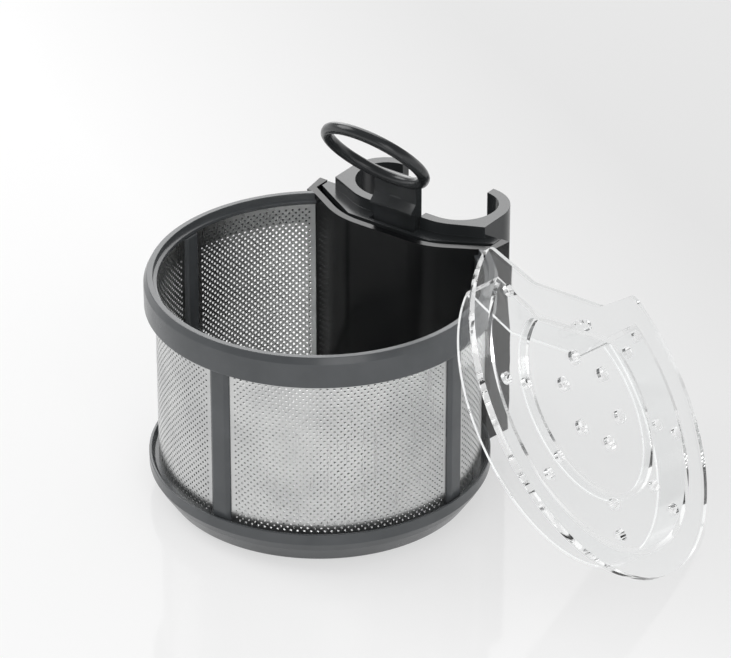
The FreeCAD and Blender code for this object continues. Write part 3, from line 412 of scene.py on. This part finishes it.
def sheet_floor():
    """Perforated floor: a lattice of holes with a plain pressed border round it."""
    def place(u, v, inner):
        return (u, v, FLOOR_LOW if inner else FLOOR_TOP)

    lattice = Lattice(place, HOLE_STEP, HOLE_STEP)
    reach = int(SHEET_INNER / HOLE_STEP) + 1
    last_row = SHEET_INNER - FLOOR_BORDER - HOLE_STEP
    for i in range(-reach, reach + 1):
        for j in range(-reach, reach + 1):
            x, y = i * HOLE_STEP, j * HOLE_STEP
            if (i + j) % 2 == 0 and math.hypot(x, y) < last_row and y < wall_y(x) - FLOOR_BORDER_WALL:
                lattice.holed(i, j)
    perforated = new_piece("floor_perforated", lattice.verts, lattice.faces)
    dressed(smooth(perforated, 40.0), SHEET, "basket", "sheet_steel", "floor_sheet")
    corner = wall_bearing(SHEET_INNER)
    outline = []
    for k in range(161):
        turn = math.pi - corner + (math.pi + 2.0 * corner) * k / 160.0
        outline.append((SHEET_INNER * math.cos(turn), SHEET_INNER * math.sin(turn)))
    edge = SHEET_INNER * math.cos(corner)
    outline += [(edge * part, wall_y(edge * part)) for part in (m / 12.0 for m in range(11, -12, -1))]
    upper, lower = FLOOR_RIM_PROUD, -SHEET_GAUGE - FLOOR_RIM_PROUD
    verts, faces = [], []
    for x, y in outline:
        away = Vector((x, y)).normalized()
        inward = FLOOR_RIM_WALL if y > WALL_FRONT - 1.0 else FLOOR_RIM
        for back, rise in ((0.0, upper), (inward, upper), (inward, lower), (0.0, lower)):
            verts.append((x - away.x * back, y - away.y * back, FLOOR_TOP + rise))
    count = len(outline)
    for k in range(count):
        after = (k + 1) % count
        for side in range(4):
            beside = (side + 1) % 4
            faces.append([4 * k + side, 4 * after + side, 4 * after + beside, 4 * k + beside])
    border = new_piece("floor_border", verts, faces)
    dressed(smooth(border, 40.0), SHEET, "basket", "sheet_steel", "floor_sheet")


# Moulded frame

def wall_bearing(radius):
    """Bearing at which a circle round the axis meets the rear housing."""
    if radius >= WALL_CORNER.length:
        return math.asin(WALL_CORNER.y / radius)
    start = Vector((WALL_BEND, WALL_FRONT))
    along = start.dot(WALL_RUN)
    reach = math.sqrt(along ** 2 + radius ** 2 - start.length_squared) - along
    meeting = start + WALL_RUN * reach
    return math.atan2(meeting.y, meeting.x)


def swept_ring(node, name, profile, steps=240):
    """A profile of (radius, height) points turned about the axis from one side of the rear
    housing to the other."""
    verts, faces = [], []
    count = len(profile)
    for k in range(steps + 1):
        for radius, height in profile:
            end = wall_bearing(radius)
            turn = math.pi - end + (math.pi + 2.0 * end) * k / steps
            verts.append((radius * math.cos(turn), radius * math.sin(turn), height))
    for k in range(steps):
        for m in range(count):
            a, b = k * count + m, k * count + (m + 1) % count
            faces.append([a, b, b + count, a + count])
    faces.append(list(range(count - 1, -1, -1)))
    faces.append([steps * count + m for m in range(count)])
    made = even_normals(new_piece(name, verts, faces), 40.0)
    return dressed(made, GREY, "basket", "frame_plastic", node)


def softened(node, name, material, body, slot, width):
    """A CAD node's shape with its edges rounded, in the place of that node."""
    made = round_edges(copied(node, name), width)
    return dressed(made, material, body, slot, node)


def finger_ring():
    """Finger ring with a flattened outside and a fine moulding line beside it."""
    low, high = node_box("finger_ring")
    half, centre = (high - low) / 2.0, (high + low) / 2.0
    tube = 1.71
    radius = half.x - tube - WITHIN
    lean = Matrix.Rotation(-math.atan2(half.z - tube, half.y - tube), 3, "X")
    line_at, line_width, line_depth = 0.75, 0.12, 0.12
    around, across = 144, 36
    verts, faces = [], []
    for k in range(around):
        turn = 2.0 * math.pi * k / around
        for m in range(across):
            angle = 2.0 * math.pi * m / across - math.pi
            line = line_depth * math.exp(-((angle - line_at) / line_width) ** 2)
            flat = 0.12 * max(0.0, math.cos(angle)) ** 6
            section = tube - line - flat
            reach = radius + section * math.cos(angle)
            point = Vector((reach * math.cos(turn), reach * math.sin(turn), section * math.sin(angle)))
            verts.append(tuple(lean @ point + centre))
    for k in range(around):
        for m in range(across):
            a, b = k * across + m, k * across + (m + 1) % across
            c, d = (k + 1) % around * across + (m + 1) % across, (k + 1) % around * across + m
            faces.append([a, d, c, b])
    made = smooth(new_piece("pull_ring", verts, faces), 60.0)
    return dressed(made, DARK, "latch", "clip_plastic", "finger_ring")


def latch_lever():
    """Latch plate whose nose is hollowed towards its middle for the thumb."""
    made = copied("latch_plate", "latch_lever")
    front, half, hollow, slices = 35.0, 7.0, 0.6, 16
    reach = front - node_box("latch_plate")[0].y
    work = bmesh.new()
    work.from_mesh(made.data)
    for k in range(1, slices):
        bmesh.ops.bisect_plane(
            work, geom=work.verts[:] + work.edges[:] + work.faces[:],
            plane_co=((2.0 * k / slices - 1.0) * half * MM, 0.0, 0.0), plane_no=(1.0, 0.0, 0.0))
    for vert in work.verts:
        out = min(1.0, max(0.0, (front - vert.co.y / MM) / reach))
        vert.co.y += hollow * MM * out * (1.0 - (vert.co.x / MM / half) ** 2)
    work.to_mesh(made.data)
    work.free()
    round_edges(made, LATCH_EDGE)
    return dressed(made, DARK, "latch", "clip_plastic", "latch_plate")


def clear_lid():
    """The lid as one clear moulding: plate, skirt, ring wall and tab joined."""
    lid_nodes = ("lid_plate", "lid_skirt", "lid_well", "lid_tab")
    face = max(NODES["lid_plate"].data.polygons, key=lambda p: (p.normal.z > 0.3, p.area))
    joined = 0.25
    base = copied("lid_plate", "clear_lid")
    for node, rise in zip(lid_nodes[1:], (joined, joined, -joined)):
        tool = copied(node, "joined_" + node, face.normal * rise)
        union = base.modifiers.new("union", "BOOLEAN")
        union.operation = "UNION"
        union.solver = "EXACT"
        union.object = tool
        apply_modifiers(base)
        bpy.data.objects.remove(tool)
    round_edges(base, LID_EDGE, angle=40.0)
    base.visible_shadow = False
    base.visible_diffuse = False
    return dressed(base, CLEAR, "lid", "lid_clear", *lid_nodes)


RIM_PROFILE = (
    (SHEET_OUTER, RIM_LOW, 0.0),
    (RIM_RADIUS, RIM_LOW, 0.5),
    (RIM_RADIUS, RIM_TOP - RIM_SHOULDER, 1.2),
    (RIM_RADIUS - RIM_SHOULDER * 0.5, RIM_TOP, 0.25),
    (RIM_OPENING, RIM_TOP, 0.2),
    (RIM_OPENING, LEDGE_TOP + LEDGE_RISE, 0.15),
    (LEDGE_RADIUS, LEDGE_TOP, 0.2),
    (LEDGE_RADIUS, SHEET_TOP, 0.15),
    (SHEET_OUTER, SHEET_TOP, 0.0),
)
GUTTER_PROFILE = (
    (GUTTER_INNER, GUTTER_LOW, 0.0),
    (GUTTER_SHOULDER, GUTTER_LOW, 0.0),
    (GUTTER_RADIUS, GUTTER_TOP - 3.2, 0.5),
    (GUTTER_RADIUS, GUTTER_TOP, 0.2),
    (GUTTER_RADIUS - 0.7, GUTTER_TOP, 0.2),
    (GUTTER_RADIUS - 1.5, GUTTER_BED, 0.3),
    (SHEET_OUTER, GUTTER_BED, 0.0),
    (SHEET_OUTER, FLOOR_TOP, 0.0),
    (SHEET_INNER, FLOOR_TOP, 0.0),
    (SHEET_INNER, FLOOR_LOW, 0.0),
    (GUTTER_INNER, FLOOR_LOW, 0.0),
)
RIB_HALF = math.degrees(math.asin(RIB_WIDTH / 2.0 / SHEET_INNER)) + 0.02
WALL_END = math.degrees(wall_bearing(SHEET_OUTER)) - 0.05

sheet_panel("mesh_rear_right", RIB_HALF, WALL_END)
sheet_panel("mesh_front_right", -90.0 + RIB_HALF, -RIB_HALF)
sheet_panel("mesh_front_left", -180.0 + RIB_HALF, -90.0 - RIB_HALF)
sheet_panel("mesh_rear_left", 180.0 - WALL_END, 180.0 - RIB_HALF)
sheet_floor()
swept_ring("rim_band", "rim_ring", rounded_corners(RIM_PROFILE))
swept_ring("gutter_flange", "gutter_ring", rounded_corners(GUTTER_PROFILE))
softened("foot_ring", "foot_base", GREY, "basket", "frame_plastic", FRAME_EDGE)
for side in ("front", "left", "right"):
    softened(side + "_rib", "rib_" + side, GREY, "basket", "frame_plastic", FRAME_EDGE)
softened("rear_cover", "back_cover", GREY, "basket", "frame_plastic", FRAME_EDGE)
softened("rear_housing", "back_housing", BLACK, "basket", "wall_plastic", FRAME_EDGE)
softened("post_clip", "clip_shell", DARK, "basket", "clip_plastic", CLIP_EDGE)
latch_lever()
finger_ring()
clear_lid()
for node, material in (("magnet_tray", BLACK), ("lift_magnets", STEEL), ("cover_screws", STEEL),
                       ("latch_pin", STEEL), ("latch_spring", STEEL)):
    NODES[node].data.materials.clear()
    NODES[node].data.materials.append(material)


# Floor, light and camera

# Where level faces mirror the camera's view to.
PANEL_DIRECTION = (-0.509, 0.704, 0.496)


def by_ray(tree, rays, shown, other):
    """One shader for the named kinds of ray, and another one for the rest."""
    path = node_of(tree, "ShaderNodeLightPath")
    seen = path.outputs[rays[0]]
    for ray in rays[1:]:
        either = node_of(tree, "ShaderNodeMath", operation="MAXIMUM")
        tree.links.new(seen, either.inputs[0])
        tree.links.new(path.outputs[ray], either.inputs[1])
        seen = either.outputs[0]
    mix = node_of(tree, "ShaderNodeMixShader")
    tree.links.new(seen, mix.inputs[0])
    tree.links.new(other, mix.inputs[1])
    tree.links.new(shown, mix.inputs[2])
    return mix.outputs[0]


def sky(tree, height, levels):
    """A grey backdrop from (height, level) stops, where height runs from 0 level to 1 overhead."""
    ramp = node_of(tree, "ShaderNodeValToRGB")
    stops = ramp.color_ramp.elements
    while len(stops) < len(levels):
        stops.new(0.5)
    for stop, (at, level) in zip(stops, levels):
        stop.position = at
        stop.color = (level, level, level, 1.0)
    tree.links.new(height, ramp.inputs["Fac"])
    made = node_of(tree, "ShaderNodeBackground")
    tree.links.new(ramp.outputs["Color"], made.inputs["Color"])
    return made.outputs[0]


def softbox(tree, place, toward, inner, outer, level):
    """A bright round panel in the direction toward, soft at its edge."""
    facing = node_of(tree, "ShaderNodeVectorMath", operation="DOT_PRODUCT")
    facing.inputs[1].default_value = toward
    tree.links.new(place, facing.inputs[0])
    edge = node_of(tree, "ShaderNodeMapRange", interpolation_type="SMOOTHSTEP")
    edge.inputs["From Min"].default_value = math.cos(math.radians(outer))
    edge.inputs["From Max"].default_value = math.cos(math.radians(inner))
    edge.inputs["To Max"].default_value = level
    tree.links.new(facing.outputs["Value"], edge.inputs["Value"])
    made = node_of(tree, "ShaderNodeBackground")
    tree.links.new(edge.outputs["Result"], made.inputs["Strength"])
    return made.outputs[0]


def studio_world():
    """Pale surroundings with a dim ceiling, and a bright panel behind in reflections."""
    world = bpy.data.worlds.new("studio")
    world.use_nodes = True
    bpy.context.scene.world = world
    tree = world.node_tree
    tree.nodes.clear()
    out = node_of(tree, "ShaderNodeOutputWorld")
    place = node_of(tree, "ShaderNodeTexCoord").outputs["Generated"]
    split = node_of(tree, "ShaderNodeSeparateXYZ")
    tree.links.new(place, split.inputs[0])
    height = split.outputs["Z"]
    lit = sky(tree, height, ((0.6, 0.95), (0.82, 0.5)))
    room = sky(tree, height, ((0.1, 1.0), (0.32, 0.12)))
    panel = softbox(tree, place, PANEL_DIRECTION, 16.0, 34.0, 4.0)
    mirrored = node_of(tree, "ShaderNodeAddShader")
    tree.links.new(room, mirrored.inputs[0])
    tree.links.new(panel, mirrored.inputs[1])
    clear = sky(tree, height, ((0.3, 1.0), (0.9, 0.55)))
    mixed = by_ray(tree, ("Is Glossy Ray",), mirrored.outputs[0], lit)
    mixed = by_ray(tree, ("Is Camera Ray", "Is Transmission Ray", "Transmission Depth"), clear, mixed)
    tree.links.new(mixed, out.inputs["Surface"])


def pale_floor():
    """A large pale glossy floor, white in front and a little greyer behind, where the grey is painted
    shade of the light falling off.
    """
    side = 3.0
    mesh = bpy.data.meshes.new("floor")
    mesh.from_pydata([(-side, -side, 0.0), (side, -side, 0.0), (side, side, 0.0), (-side, side, 0.0)],
                     [], [(0, 1, 2, 3)])
    floor = new_object("floor", mesh)
    floor.location.z = -0.0002
    made, tree, shader, place = new_material("pale_floor")
    shader.inputs["Base Color"].default_value = (0.9, 0.9, 0.9, 1.0)
    shader.inputs["Roughness"].default_value = 0.5
    # Painted shade: the floor's base colour and glow grow darker towards the back right, standing in
    # for the light falling off there.
    toward = node_of(tree, "ShaderNodeVectorMath", operation="DOT_PRODUCT")
    toward.inputs[1].default_value = (0.467, 0.884, 0.0)
    tree.links.new(place, toward.inputs[0])
    painted_falloff = node_of(tree, "ShaderNodeMapRange")
    painted_falloff.inputs["From Min"].default_value = 0.02
    painted_falloff.inputs["From Max"].default_value = 0.17
    tree.links.new(toward.outputs["Value"], painted_falloff.inputs["Value"])
    levels = []
    for near, far in ((0.40, 0.32), (0.52, 0.40)):
        ramp = node_of(tree, "ShaderNodeValToRGB")
        ramp.color_ramp.elements[0].color = (near, near, near, 1.0)
        ramp.color_ramp.elements[1].color = (far, far, far, 1.0)
        tree.links.new(painted_falloff.outputs["Result"], ramp.inputs["Fac"])
        levels.append(ramp.outputs["Color"])
    glossy = node_of(tree, "ShaderNodeBsdfPrincipled")
    glossy.inputs["Roughness"].default_value = 0.06
    glossy.inputs["Specular IOR Level"].default_value = 0.05
    tree.links.new(levels[0], glossy.inputs["Base Color"])
    glow = node_of(tree, "ShaderNodeEmission")
    tree.links.new(levels[1], glow.inputs["Color"])
    total = node_of(tree, "ShaderNodeAddShader")
    tree.links.new(glossy.outputs[0], total.inputs[0])
    tree.links.new(glow.outputs[0], total.inputs[1])
    rays = ("Is Camera Ray", "Is Glossy Ray", "Is Transmission Ray")
    mixed = by_ray(tree, rays, total.outputs[0], shader.outputs[0])
    tree.links.new(mixed, tree.nodes["Material Output"].inputs["Surface"])
    mesh.materials.append(made)


def area_lamp(name, place, size, power):
    """A soft square lamp that looks at the basket."""
    light = bpy.data.lights.new(name, "AREA")
    light.size = size
    light.energy = power
    lamp = new_object(name, light)
    lamp.location = place
    aim = Vector((0.0, 0.0, 0.04))
    lamp.rotation_euler = (aim - Vector(place)).to_track_quat("-Z", "Y").to_euler()


def photo_camera():
    """The photograph's view, from its bearing, height and focal length."""
    azimuth, elevation = math.radians(35.9), math.radians(29.71)
    focal_px, frame_px = 4561.0, Vector((731.0, 658.0))
    seen, seen_px, depth = Vector((0.0, 0.0, 0.03)), Vector((319.95, 383.43)), 1.2605
    right = Vector((math.cos(azimuth), math.sin(azimuth), 0.0))
    ahead = Vector((-math.sin(azimuth) * math.cos(elevation),
                    math.cos(azimuth) * math.cos(elevation), -math.sin(elevation)))
    above = right.cross(ahead)
    off = (seen_px - frame_px / 2.0) / focal_px
    data = bpy.data.cameras.new("photo_camera")
    data.sensor_width = 36.0
    data.lens = focal_px * data.sensor_width / frame_px.x
    data.clip_end = 20.0
    camera = new_object("photo_camera", data)
    camera.location = seen - (ahead + right * off.x - above * off.y) * depth
    camera.rotation_euler = Matrix((right, above, -ahead)).transposed().to_euler()
    bpy.context.scene.camera = camera


def long_light_paths():
    """Enough bounces for light to find its way out of the clear lid's edges."""
    cycles = bpy.context.scene.cycles
    cycles.max_bounces = 32
    cycles.glossy_bounces = 24
    cycles.transmission_bounces = 32


studio_world()
pale_floor()
area_lamp("key", (-1.0, -0.2, 0.9), 0.7, 6.0)
area_lamp("fill", (1.0, -0.8, 0.7), 0.7, 3.0)
photo_camera()
long_light_paths()
bpy.context.scene.view_settings.view_transform = "Standard"
